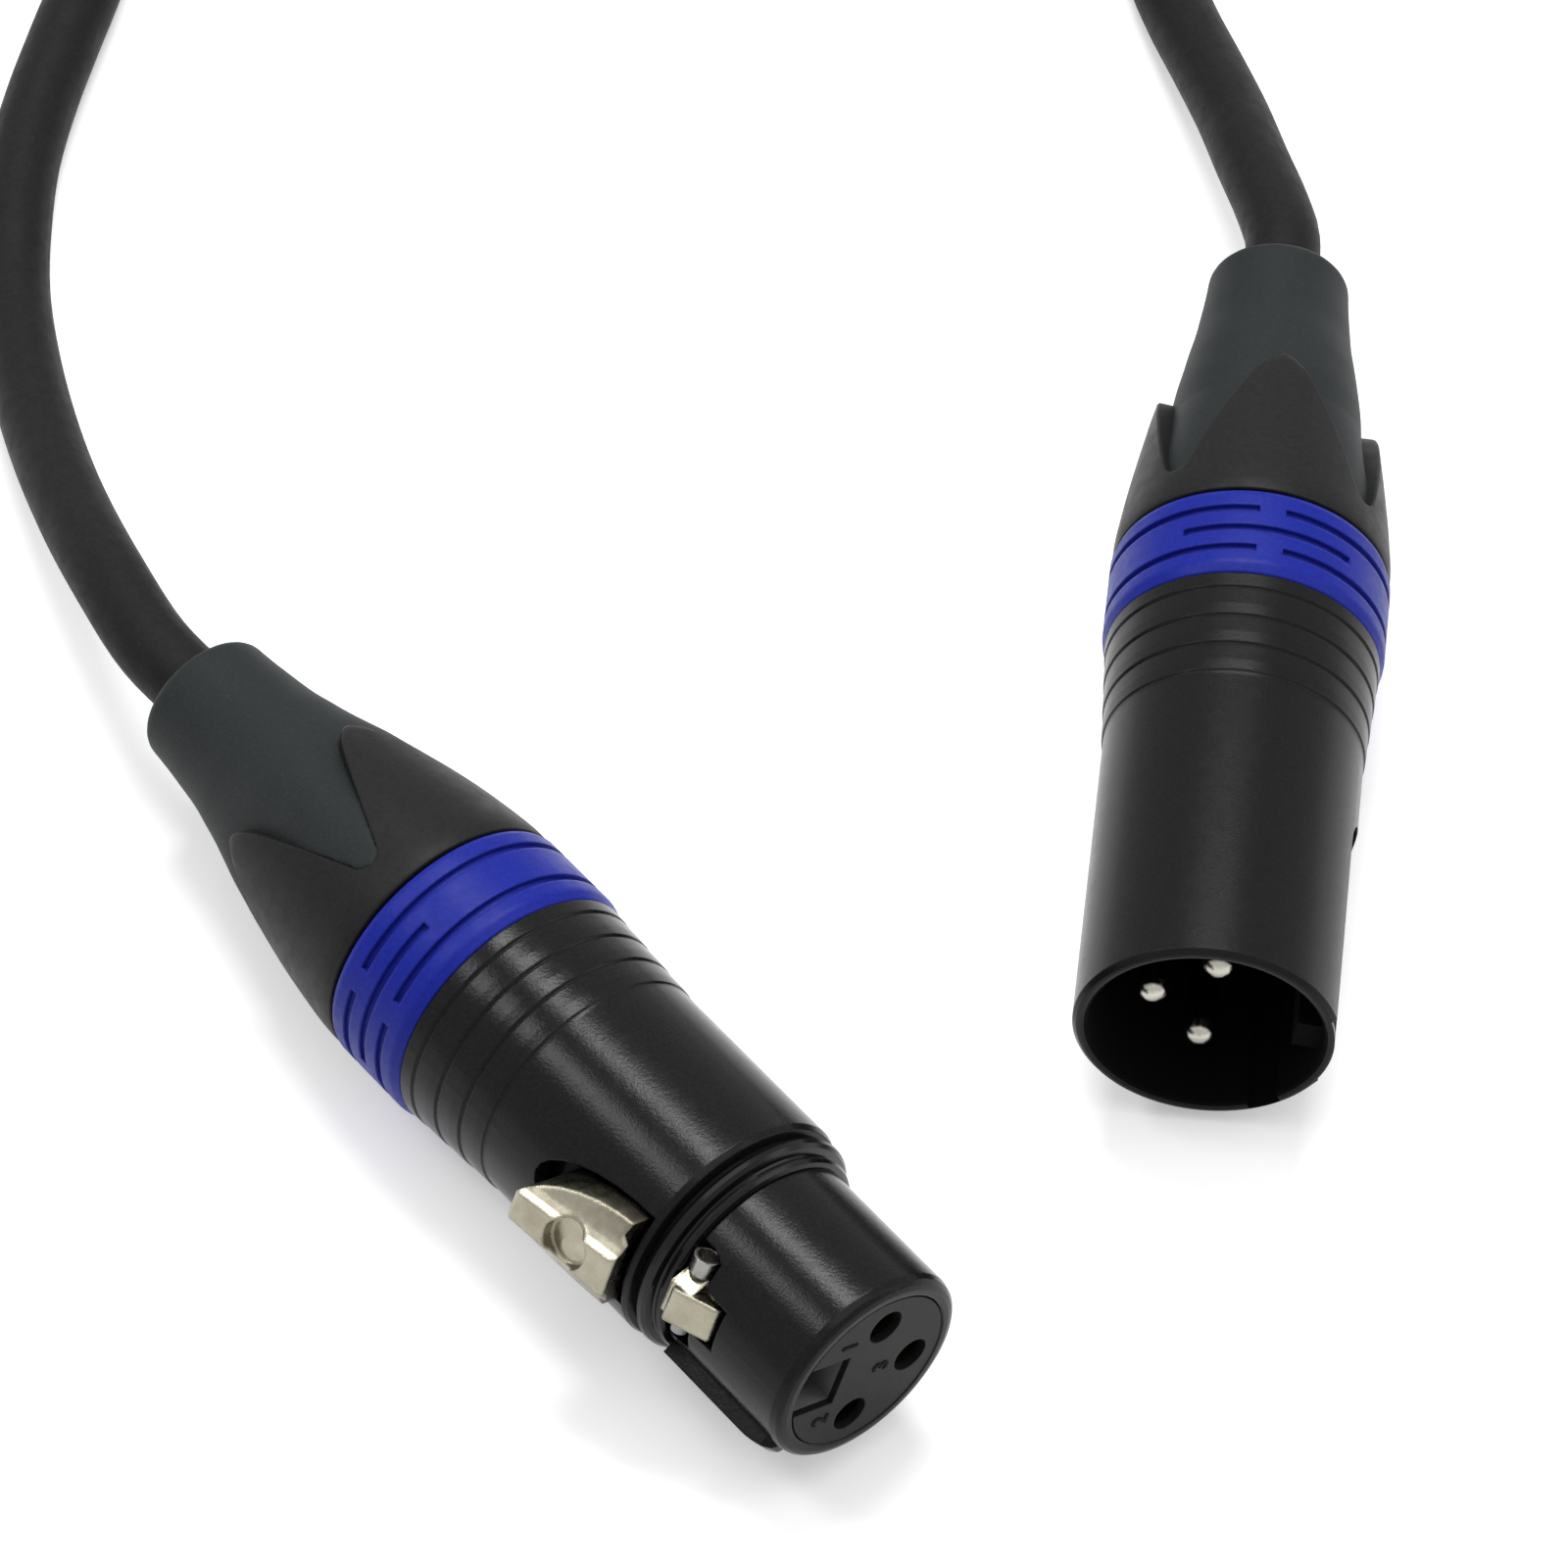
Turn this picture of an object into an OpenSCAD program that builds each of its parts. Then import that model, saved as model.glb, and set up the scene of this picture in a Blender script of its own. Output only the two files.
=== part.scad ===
// Three-pin audio lead: a socket connector with a thumb latch at one end, a pin
// connector at the other, and 1.5 m of cable between them, put away as a tied coil.
// Each connector is drawn with +Z running from its mouth back to its cable and
// +X towards its key, and is then laid on the table by place_socket or place_plug.

/* [Cable] */
// Outside diameter of the cable jacket
cable_d = 5.8; // [5:0.1:6.4]
// Distance between neighbouring turns of the coil
coil_pitch = 6.4; // [6.4:0.1:7]
// Radius of the coil where the cable enters it
coil_r = 42.2; // [40:0.2:46]
// Turns of the coil, over two layers
coil_turns = 6.5; // [4.5:2:8.5]

/* [Connector shells] */
// Outside diameter of both shell tubes
tube_d = 19; // [18.6:0.1:19.4]
// Outside diameter of the coloured rings, which both connectors lie on
ring_d = 20.8; // [20.4:0.1:21.2]
// Width of the coloured rings along the connector
ring_w = 7.8; // [7:0.1:8.4]
// Diameter of the nose that enters the mating socket
nose_d = 16; // [15.8:0.1:16.2]
// Inside diameter of the pin connector's mouth
mouth_d = 16.9; // [16.7:0.1:17]
// Distance from the pin connector's rim to its coloured ring
plug_ring_z = 34.3; // [34:0.1:36]
// Distance from the socket connector's face to its coloured ring
socket_ring_z = 39.5; // [39:0.1:41]
// Length of the tail behind the coloured ring
tail_len = 29.4; // [29:0.1:31]

/* [Contacts] */
// Radius of the circle that the three contacts lie on
contact_circle_r = 4.1; // [4:0.05:4.2]
// Diameter of a contact pin
pin_d = 2.4; // [2.3:0.05:2.4]
// Diameter of the hole in a contact socket
hole_d = 2.6; // [2.5:0.05:2.7]
// Distance of the pin tips behind the rim
pin_tip_z = 2.3; // [2:0.1:4]

/* [Latch] */
// Height of the thumb pad's rear end above the connector's axis
pad_h_rear = 13.55; // [13:0.05:13.7]
// Height of the thumb pad's front end above the connector's axis
pad_h_front = 12.15; // [11.8:0.05:12.4]
// Height of the hook's rear edge above the connector's axis
hook_h = 9.4; // [9:0.1:9.6]
// Turn of the latch about its pin
latch_angle = 0; // [0:0.1:4.5]

/* [Placement] */
// Centre of the pin connector's rim on the table, X
plug_x = 34.2; // [34:0.1:36]
// Centre of the pin connector's rim on the table, Y
plug_y = -17.5; // [-18:0.1:-16]
// Turn of the pin connector's key about its axis
plug_roll = 7.5; // [5:0.5:10]
// Centre of the socket connector's face on the table, X
socket_x = 13.5; // [13:0.1:14]
// Centre of the socket connector's face on the table, Y
socket_y = -48.7; // [-49:0.1:-48]
// Angle of the socket connector on the table
socket_yaw = 45.5; // [45:0.1:46]
// Turn of the socket connector's key about its axis
socket_roll = -157.5; // [-160:0.5:-155]

/* [Hidden] */
$fn = 64;

axis_h = ring_d / 2;
tube_r = tube_d / 2;
cable_r = cable_d / 2;
pin_r = pin_d / 2;
hole_r = hole_d / 2;
nose_r = nose_d / 2;
mouth_r = mouth_d / 2;

// shell walls behind the mouth
spigot_r = 8.9;
spigot_bore_r = 7.9;
spigot_len = 11.4;
band_pitch = 2.5;
band_step = 0.15;
band_count = 3;
band_start = 8.75;
shell_rear_r = 10.12;

// socket connector, distances from its face
insert_r = 6.55;
nose_bore_r = 6.6;
tube_front = 14.6;
seal_front = 12.05;
seal_floor_r = 7.7;
main_bore_r = 8.2;
lever_slot = 2;
pocket_half = 4.05;
pocket_front = 15.2;
pocket_rear = 25.6;
pad_half = 3.75;
pad_front = 15.6;
pad_rear = 24;
land_half = 1.42;
land_taper = 2.7;
pad_base = 7.3;
dimple_z = 18.65;
dimple_r = 1.88;
dimple_depth = 1;
hook_front = 7.85;
hook_rear = 11.25;
hook_half = 1.4;
hook_foot = 11.95;
neck_top = 6.95;
neck_base = 5.2;
pivot_x = 6.5;
pivot_z = 28.2;
pivot_r = 0.6;
cross_x = 7.1;
cross_z = 11;
cross_r = 0.65;
cross_half = 3.2;
rolled_r = 0.98;
rolled_end = 3.75;
notch_half = 4.3;
notch_front = 9.75;
notch_base = 4.5;
insert_rear = 22;
platform_x = 3.6;
rib_angle = 52;

// pin connector, distances from its rim
plug_insert_z = 17.4;
plug_insert_rear = 24.5;
plug_root_r = 1.7;
plug_seat_z = 18;

// gland nut and boot, distances behind the coloured ring: [distance, radius]
nut_profile = [
  [0.15, 10.2], [0.5, 10.3], [1.8, 10.27], [3.6, 10.08], [5.5, 9.86], [7.4, 9.6],
  [9.3, 9.32], [11.2, 9.02], [13.2, 8.7], [15.4, 8.28]
];
lobe_profile = [
  [2.6, 10.12], [5.7, 9.8], [7.4, 9.55], [9, 9.26], [10.6, 8.94], [12.3, 8.58],
  [13.9, 8.2], [15.6, 7.78], [17.2, 7.3], [18.9, 6.8], [20.6, 6.4]
];
core_profile = [[2.6, 9.35], [6, 9.02], [11, 8], [15.4, 7.2], [17.2, 6.9]];
tail_profile = [
  [19, 6.62], [21, 6.26], [23, 5.95], [25, 5.7], [27, 5.48], [28.6, 5.35], [29.1, 5.1],
  [29.4, 4.7]
];
petal_tip = 15.4;
petal_root = 3.2;
valley_slope = 0.357;
valley_round = 1.2;
female_lobe_sink = 0.1;
male_lobe_sink = 0.65;
nut_thread_len = 6;
nut_core_end = 11;

// the cable's free stretches, from each boot to the coil
female_route = [
  [-41.2, 5.1, 10.4], [-45.4, 9.2, 10.4], [-49.8, 15.8, 9.7], [-54.2, 24, 7.6], [-58.2, 33.1, 5.2],
  [-61.4, 41.9, 3.6], [-63.4, 49, 2.9], [-64.4, 55.4, 2.9], [-65, 62.9, 2.9],
  [-64.7, 69.9, 2.9], [-64, 76.4, 2.9], [-63.2, 83.3, 2.9], [-63, 94.8, 2.9],
  [-63.4, 107.8, 2.9], [-63.8, 120.8, 2.9], [-63.9, 134.2, 2.9]
];
male_route = [
  [34.2, 54, 10.4], [34.2, 58.4, 10.4], [33.1, 62.8, 9.6], [31.2, 68.6, 8.2],
  [29.2, 75.3, 6.2], [26.7, 82.2, 4.4], [24.3, 88.2, 3.2], [22.2, 93.8, 2.9],
  [20.8, 99.8, 3.1], [20.4, 106.8, 4], [20.4, 115.8, 6], [20.5, 124.8, 8.2], [20.5, 134.2, 9.2]
];
coil_x = -21.7;
coil_y = 140;
layer_step = cable_d + 0.5;
tie_lift = 1.5;
tie_t = 0.85;
tie_w = 13;
steps_per_turn = 24;

function unit(v) = v / norm(v);
function smooth(t) = let (c = min(1, max(0, t))) c * c * (3 - 2 * c);
function back(list) = [for (i = [len(list) - 1:-1:0]) list[i]];

// direction of a path at point i
function heading(path, i) =
  unit(path[min(i + 1, len(path) - 1)] - path[max(i - 1, 0)]);

// one ring of a tube, square to the path; across is a direction the path never takes
function tube_ring(centre, t, r, sides, turn, across) =
  let (side = unit(cross(t, across)), up = cross(side, t))
  [for (k = [0:sides - 1]) centre + r * (cos(turn + 360 * k / sides) * side
    + sin(turn + 360 * k / sides) * up)];

// a closed round tube along a path
module tube(path, r, sides, turn, across = [0, 0, 1]) {
  n = len(path);
  points = [for (i = [0:n - 1])
    each tube_ring(path[i], heading(path, i), r, sides, turn, across)];
  start_cap = [for (k = [1:sides - 2]) [0, k + 1, k]];
  end_cap = [for (k = [1:sides - 2]) [0, k, k + 1] + (n - 1) * sides * [1, 1, 1]];
  walls = [for (i = [0:n - 2], k = [0:sides - 1])
    let (a = i * sides + k, b = i * sides + (k + 1) % sides)
    each [[a, b, b + sides], [a, b + sides, a + sides]]];
  polyhedron(points = points, faces = concat(start_cap, walls, end_cap));
}

// centre of the cable after u turns of the coil, clockwise from its left side
function coil_point(u) =
  let (
    azimuth = 180 - 360 * u,
    half = coil_turns / 2,
    r = coil_r - coil_pitch * min(u, coil_turns - u),
    climb = layer_step * smooth((u - half + 0.25) / 0.5),
    over_tie = tie_lift * pow(max(0, cos(azimuth - 270)), 8)
  )
  [coil_x + r * cos(azimuth), coil_y + r * sin(azimuth), cable_r + climb + over_tie];

coil_steps = coil_turns * steps_per_turn;
coil_turn_points = [for (i = [0:coil_steps]) coil_point(i / steps_per_turn)];
coil_path = concat(
  [[coil_x - coil_r, coil_y - cable_d, cable_r]],
  coil_turn_points,
  [[coil_x + coil_r, coil_y - cable_d, cable_r + layer_step]]
);
least_gap = min([for (i = [0:coil_steps - 13]) min([for (j = [i + 12:coil_steps])
  norm(coil_turn_points[i] - coil_turn_points[j])])]) - cable_d;
echo(least_gap_between_turns = least_gap);

module place_plug() {
  translate([plug_x, plug_y, axis_h]) rotate([-90, 0, 0]) rotate([0, 0, plug_roll]) children();
}

module place_socket() {
  translate([socket_x, socket_y, axis_h]) rotate([0, 0, socket_yaw]) rotate([-90, 0, 0])
    rotate([0, 0, socket_roll]) children();
}

// a solid of revolution from a list of [radius, distance]
module turned(outline) {
  rotate_extrude($fn = 96) polygon(outline);
}

// a flat outline of [sideways, along] points pushed out along +X
module outward(from_x, to_x) {
  translate([from_x, 0, 0]) rotate([90, 0, 90]) linear_extrude(to_x - from_x) children();
}

// outline of the three shallow bands in front of the coloured ring
function bands(z0) = [for (i = [0:band_count - 1])
  let (z = z0 + band_pitch * i, r = tube_r + 0.12 + band_step * i)
  each [[r - 0.1, z], [r, z + 0.1], [r + 0.05, z + 1], [r + 0.07, z + 2.3], [r - 0.03, z + 2.42]]];

// shell outline from the tube to the end of the threaded spigot
function shell_rear(ring_z) = concat(
  [[tube_r, ring_z - band_start - 0.3]],
  bands(ring_z - band_start),
  [
    [shell_rear_r - 0.05, ring_z - band_start + band_pitch * band_count + 0.1],
    [shell_rear_r, ring_z - 0.05], [spigot_r, ring_z - 0.05],
    [spigot_r, ring_z + spigot_len - 0.5], [spigot_r - 0.5, ring_z + spigot_len],
    [spigot_bore_r, ring_z + spigot_len]
  ]
);

// ---------------------------------------------------------------- shared pieces

module groove_arc(z, from_angle, to_angle, depth) {
  rotate([0, 0, from_angle]) rotate_extrude(angle = to_angle - from_angle, $fn = 96)
    polygon([
      [axis_h + 1, z - 0.42], [axis_h + 1, z + 0.42], [axis_h - depth + 0.1, z + 0.28],
      [axis_h - depth, z + 0.1], [axis_h - depth, z - 0.1], [axis_h - depth + 0.1, z - 0.28]
    ]);
}

// ring with three rows of grooves, interrupted at two opposite places
module colour_ring(ring_z, gap_angle) {
  gap_half = 5.4;
  short_half = 36.5;
  row_back = 1.9;
  row_pitch = 1.85;
  row = [for (i = [0:2]) ring_z + ring_w - row_back - row_pitch * i];
  color([0.19, 0.22, 0.65])
  difference() {
    turned([
      [spigot_r + 0.05, ring_z], [axis_h - 0.45, ring_z], [axis_h - 0.3, ring_z + 0.1],
      [axis_h - 0.04, ring_z + 0.75], [axis_h, ring_z + 1], [axis_h, ring_z + ring_w - 0.5],
      [axis_h - 0.12, ring_z + ring_w - 0.15], [axis_h - 0.4, ring_z + ring_w],
      [spigot_r + 0.05, ring_z + ring_w]
    ]);
    for (side = [0, 180]) rotate([0, 0, gap_angle + side]) {
      for (z = [row[0], row[2]]) groove_arc(z, gap_half, 180 - gap_half, 0.45);
      groove_arc(row[1], -short_half, short_half, 0.45);
    }
  }
}

// one valley between two petals, centred on +X
module valley(ring_back, end) {
  slope_angle = atan(valley_slope);
  half_width = valley_slope * (end - petal_root - valley_round + valley_round / sin(slope_angle));
  outward(5, 12) polygon(concat(
    [[half_width, ring_back + end], [-half_width, ring_back + end]],
    [for (a = [180 + slope_angle:(180 - 2 * slope_angle) / 6:360 - slope_angle])
      [valley_round * cos(a), ring_back + petal_root + valley_round * (1 + sin(a))]]
  ));
}

module valleys(ring_back, end) {
  for (k = [0:3]) rotate([0, 0, 45 + 90 * k]) valley(ring_back, end);
}

function behind(ring_back, profile) = [for (p = profile) [p[1], p[0] + ring_back]];

// everything outside the core that carries the petals
module outside_core(ring_back) {
  turned(concat(
    behind(ring_back, core_profile),
    [[12, ring_back + core_profile[len(core_profile) - 1][0]], [12, ring_back + core_profile[0][0]]]
  ));
}

// hard nut with four petals over the soft tail
module gland_nut(ring_back) {
  color([0.10, 0.10, 0.095])
  difference() {
    turned(concat(
      [[spigot_r + 0.05, ring_back + nut_profile[0][0]]],
      behind(ring_back, nut_profile),
      [[7.2, ring_back + petal_tip], [8, ring_back + nut_core_end], [7, ring_back + nut_core_end],
       [7.4, ring_back + nut_thread_len], [spigot_r + 0.05, ring_back + nut_thread_len]]
    ));
    intersection() {
      valleys(ring_back, petal_tip + 0.5);
      outside_core(ring_back);
    }
    for (k = [0:3], flip = [0, 1]) rotate([0, 0, 90 * k]) mirror([0, flip, 0])
      outward(6.5, 12) polygon([
        [0, ring_back + petal_tip], [0.5, ring_back + 15.3], [0.95, ring_back + 15],
        [1.3, ring_back + 14.5], [1.65, ring_back + 13.7], [5, ring_back + 13.7],
        [5, ring_back + 17], [0, ring_back + 17]
      ]);
  }
}

// soft tail: its lobes fill the valleys of the nut, and lie sink below its surface
module boot(ring_back, sink) {
  bore_r = cable_r + 0.05;
  color([0.12, 0.13, 0.14])
  union() {
    turned(concat(
      [[bore_r, ring_back + nut_core_end + 0.02], [7.98, ring_back + nut_core_end + 0.02],
       [7.18, ring_back + petal_tip], [6.88, ring_back + 17.2]],
      behind(ring_back, tail_profile),
      [[bore_r, ring_back + tail_len]]
    ));
    intersection() {
      turned(concat(
        behind(ring_back, [for (q = lobe_profile) [q[0], q[1] - sink * max(0, min(1, (19 - q[0]) / 6))]]),
        [[5.8, ring_back + 20.6], [6.6, ring_back + 17.2], [7, ring_back + 15.4], [7.8, ring_back + 11],
         [9.04, ring_back + 6], [9.37, ring_back + 2.6]]
      ));
      valleys(ring_back, 19.5);
    }
  }
}

// split collet that grips the jacket
module chuck(ring_back) {
  front = ring_back - 9;
  slot_w = 0.9;
  color([0.16, 0.16, 0.17])
  difference() {
    turned([
      [cable_r + 0.05, front], [6.6, front], [7, front + 0.4], [7, front + 5], [7.8, front + 5],
      [7.8, ring_back + 3.8], [6.8, ring_back + 5.8], [4.8, ring_back + 10.8],
      [cable_r + 0.05, ring_back + 10.8]
    ]);
    for (k = [0:1]) rotate([0, 0, 45 + 90 * k]) translate([-9, -slot_w / 2, ring_back - 2])
      cube([18, slot_w, 14]);
  }
}

// jacketed cable inside a connector
module cable_end(ring_back) {
  color([0.11, 0.11, 0.12])
  translate([0, 0, ring_back - 8]) cylinder(r = cable_r, h = tail_len + 8);
}

// three insulated wires from the jacket into the solder cups
module wires(cup_floor, cup_end, ring_back) {
  wire_r = 0.7;
  start_r = 1.2;
  jacket_z = ring_back - 8;
  for (k = [0:2]) rotate([0, 0, [-90, 90, 180][k]])
    color([[0.85, 0.85, 0.83], [0.7, 0.1, 0.1], [0.1, 0.15, 0.5]][k])
    tube([
      [contact_circle_r, 0, cup_floor + 0.02], [contact_circle_r, 0, cup_end + 0.3],
      [contact_circle_r - 1.2, 0, cup_end + 2], [start_r + 0.3, 0, jacket_z - 1.4],
      [start_r, 0, jacket_z - 0.5], [start_r, 0, jacket_z]
    ], wire_r, 8, 0, [0, 1, 0]);
}

// ---------------------------------------------------------------- socket connector

module female_shell() {
  ring_z = socket_ring_z;
  color([0.08, 0.08, 0.09])
  place_socket() difference() {
    union() {
      turned(concat(
        [
          [nose_bore_r, 0.15], [nose_bore_r + 0.15, 0], [nose_r - 0.8, 0],
          [nose_r - 0.42, 0.11], [nose_r - 0.15, 0.36], [nose_r, 0.85], [nose_r, seal_front],
          [seal_floor_r, seal_front], [seal_floor_r, tube_front], [tube_r - 0.6, tube_front],
          [tube_r - 0.2, tube_front + 0.15], [tube_r, tube_front + 0.6]
        ],
        shell_rear(ring_z),
        [[spigot_bore_r, 31.5], [main_bore_r, 31], [main_bore_r, tube_front], [nose_bore_r, tube_front]]
      ));
      // guide rib along the nose
      rotate([0, 0, -rib_angle]) difference() {
        intersection() {
          outward(nose_r - 0.7, nose_r + 1.05) polygon([
            [-0.5, 0.9], [0.5, 0.9], [0.95, 1.8], [0.95, seal_front], [-0.95, seal_front], [-0.95, 1.8]
          ]);
          turned([
            [0, 0.9], [nose_r, 0.9], [nose_r + 0.45, 1.15], [nose_r + 0.8, 1.7], [nose_r + 1, 2.5],
            [nose_r + 1.2, 4], [nose_r + 1.2, 13], [0, 13]
          ]);
        }
        cylinder(r = nose_r - 0.6, h = 20);
      }
      // lugs for the latch's pivot pin
      for (s = [-1, 1]) intersection() {
        translate([5.2, s > 0 ? 2.15 : -3.65, 26.7]) cube([3.4, 1.5, 3]);
        cylinder(r = main_bore_r + 0.3, h = 40);
      }
    }
    // pocket for the thumb pad
    outward(5, 13) polygon(concat(
      [[-pocket_half, pocket_front], [pocket_half, pocket_front]],
      [for (a = [0:11.25:180]) [pocket_half * cos(a), pocket_front + (pocket_rear - pocket_front) * sin(a)]]
    ));
    // window for the hook
    outward(notch_base, 13) polygon([
      [-1.85, 7.3], [1.85, 7.3], [1.9, 9.3], [2.1, 9.65], [notch_half - 0.4, notch_front],
      [notch_half, notch_front + 1.2], [notch_half, seal_front], [-notch_half, seal_front],
      [-notch_half, notch_front + 1.2], [0.4 - notch_half, notch_front], [-2.1, 9.65], [-1.9, 9.3]
    ]);
    // way for the lever's neck under the seal
    translate([0, -lever_slot, 10]) cube([7.3, 2 * lever_slot, 6]);
    translate([pivot_x, -5, pivot_z]) rotate([-90, 0, 0]) cylinder(r = pivot_r + 0.01, h = 10);
  }
}

module female_seal_ring() {
  color([0.05, 0.05, 0.05])
  place_socket() turned([
    [seal_floor_r + 0.02, seal_front + 0.02], [8.15, seal_front + 0.02], [8.45, 12.2], [8.6, 12.45],
    [8.55, 12.7], [8.4, 12.9], [8.5, 13.05], [8.95, 13.2], [9.2, 13.45], [9.28, 13.75],
    [9.1, 14.05], [8.75, 14.25], [8.7, tube_front - 0.02], [seal_floor_r + 0.02, tube_front - 0.02]
  ]);
}

module female_insert() {
  color([0.17, 0.17, 0.17])
  place_socket() difference() {
    union() {
      translate([0, 0, 0.05]) cylinder(r = insert_r, h = tube_front);
      translate([0, 0, tube_front + 0.02]) cylinder(r = main_bore_r - 0.05, h = insert_rear - tube_front);
    }
    // slot for the mating key
    translate([2.5, -2.15, -1]) cube([5, 4.3, 8.4]);
    // room for the latch's neck, cross pin and pad
    translate([3.4, -lever_slot, 6.8]) cube([6, 2 * lever_slot, 10]);
    translate([notch_base, -notch_half, notch_front - 0.1]) cube([4, 2 * notch_half, 4]);
    translate([platform_x, -9, 12.4]) cube([9, 18, 12]);
    for (a = [-90, 90, 180]) rotate([0, 0, a]) translate([contact_circle_r, 0, -1]) {
      cylinder(r = hole_r + 0.1, h = 3);
      translate([0, 0, 1.7]) cylinder(r = 1.78, h = 30);
    }
  }
}

// socket contact with its solder cup
module contact_socket(angle) {
  front = 0.7;
  depth = 14;
  cup_r = 1.6;
  color([0.80, 0.66, 0.30])
  place_socket() rotate([0, 0, angle]) translate([contact_circle_r, 0, 0]) difference() {
    union() {
      translate([0, 0, front]) cylinder(r = 1.75, h = insert_rear - front);
      translate([0, 0, insert_rear]) cylinder(r = cup_r, h = 4.6);
    }
    translate([0, 0, -1]) cylinder(r = hole_r, h = front + depth + 1);
    translate([0, 0, insert_rear + 1.6]) cylinder(r = 1.1, h = 5);
    translate([0, -1.1, insert_rear + 2.6]) cube([3, 2.2, 5]);
  }
}

module female_contact_1() {
  contact_socket(90);
}

module female_contact_2() {
  contact_socket(-90);
}

module female_contact_3() {
  contact_socket(180);
}

// thumb pad, neck and hook in one lever that turns about its rear pin
module latch_lever() {
  pad_slope = atan((pad_h_rear - pad_h_front) / (pad_rear - pad_front));
  pad_mid = (pad_front + pad_rear) / 2;
  pad_mid_h = (pad_h_front + pad_h_rear) / 2;
  // one side of the pad's section: land edge, hollow flank, side wall
  pad_side = [
    [1, -6], [1, land_half - 0.06], [0, land_half - 0.06], [-0.12, land_half], [-0.5, land_half + 0.22],
    [-0.85, land_half + 0.55], [-1.15, land_half + 0.95], [-1.45, land_half + 1.4],
    [-1.8, land_half + 1.9], [-2, land_half + 2.2], [-2.1, land_half + 2.4], [-8, land_half + 2.4], [-8, -6]
  ];
  color([0.67, 0.65, 0.58])
  latch_swing() difference() {
    union() {
      // thumb pad: its plan, two half sections and side profile crossed
      intersection() {
        outward(pad_base, 15) polygon([
          for (a = [0:11.25:180]) [pad_half * cos(a), pad_front + (pad_rear - pad_front) * sin(a)],
          [-pad_half, pad_front - 1], [pad_half, pad_front - 1]
        ]);
        for_both_sides(pad_mid_h, pad_mid, pad_slope) linear_extrude(20, center = true) polygon(pad_side);
        rotate([90, 0, 0]) translate([0, 0, -5]) linear_extrude(10) polygon([
          [pad_base, pad_front], [10.7, pad_front], [10.85, pad_front - 0.7], [pad_h_front - 0.4, pad_front - 0.85],
          [pad_h_front - 0.1, pad_front - 0.7], [pad_h_front, pad_front - 0.4],
          [pad_h_rear - 0.12, pad_rear - 0.75], [pad_h_rear - 0.3, pad_rear - 0.35],
          [pad_h_rear - 0.7, pad_rear - 0.05], [pad_h_rear - 1.2, pad_rear + 0.1], [pad_base, pad_rear + 0.1]
        ]);
      }
      // tongue that stops under the shell's front strip
      translate([6, -2.5, tube_front + 0.2]) cube([1.75, 5, 1.6]);
      // neck and arm below the shell wall
      rotate([90, 0, 0]) translate([0, 0, -1.8]) linear_extrude(3.6) polygon([
        [neck_base, 8.4], [neck_top, 8.4], [neck_top, 15.4], [pad_base + 0.4, 15.8], [8, 24.4],
        [7.6, 25.4], [pivot_x + 1, pivot_z - 0.9], [pivot_x - 1, pivot_z + 0.4],
        [pivot_x - 1.1, pivot_z - 0.4], [5.7, 24], [5.5, 17], [neck_base, 15]
      ]);
      translate([pivot_x, -1.8, pivot_z]) rotate([-90, 0, 0]) cylinder(r = 1.15, h = 3.6);
      // hook with its entry ramp, and the block that holds the cross pin
      rotate([90, 0, 0]) translate([0, 0, -hook_half]) linear_extrude(2 * hook_half) polygon([
        [neck_base, hook_front], [7.6, hook_front], [7.9, hook_front + 0.15],
        [hook_h - 0.15, hook_rear - 0.6], [hook_h, hook_rear - 0.3], [hook_h - 0.15, hook_rear],
        [8.1, hook_rear], [7.95, hook_foot], [neck_base, hook_foot]
      ]);
      // the block's flared foot, which the cross pin's ends stand on
      translate([0, 0, notch_front + 0.2]) linear_extrude(hook_foot - notch_front - 0.25) polygon([
        [6.2, -2.3], [7.3, -2.3], [8.1, -1.75], [8.8, -1.35], [8.8, 1.35], [8.1, 1.75], [7.3, 2.3], [6.2, 2.3]
      ]);
    }
    translate([pivot_x, -5, pivot_z]) rotate([-90, 0, 0]) cylinder(r = pivot_r + 0.05, h = 10);
    translate([cross_x, -5, cross_z]) rotate([-90, 0, 0]) cylinder(r = cross_r + 0.01, h = 10);
    // dimple for the thumb, wider than the land
    translate([pad_mid_h + (dimple_z - pad_mid) * tan(pad_slope), 0, dimple_z]) rotate([0, pad_slope, 0])
      rotate([0, 90, 0]) translate([0, 0, -dimple_depth]) cylinder(r1 = dimple_r - 0.04, r2 = dimple_r + 0.04, h = 2);
    // seat for the spring
    translate([pad_base - 0.5, 0, dimple_z]) rotate([0, 90, 0]) translate([0, 0, -3]) cylinder(r = 1.7, h = 3.3);
  }
}

// the section on +Y and its mirror image crossed, along the pad's slope
module for_both_sides(h, z, slope) {
  translate([h, 0, z]) rotate([0, slope, 0]) intersection() {
    rotate([land_taper, 0, 0]) children();
    mirror([0, 1, 0]) rotate([land_taper, 0, 0]) children();
  }
}

// turns with the latch
module latch_swing() {
  place_socket() translate([pivot_x, 0, pivot_z]) rotate([0, latch_angle, 0])
    translate([-pivot_x, 0, -pivot_z]) children();
}

module latch_pivot_pin() {
  color([0.72, 0.72, 0.70])
  place_socket() translate([pivot_x, -3.6, pivot_z]) rotate([-90, 0, 0]) cylinder(r = pivot_r, h = 7.2);
}

// rolled steel pin through the hook; its open end shows beside the hook
module latch_cross_pin() {
  color([0.75, 0.75, 0.73])
  latch_swing() translate([cross_x, -2, cross_z]) rotate([-90, 0, 0]) difference() {
    union() {
      cylinder(r = cross_r, h = 5);
      translate([0, 0, 4.32]) cylinder(r = rolled_r, h = rolled_end - 2.32);
    }
    translate([0, 0, 4.5]) cylinder(r = rolled_r - 0.25, h = 4);
  }
}

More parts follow.
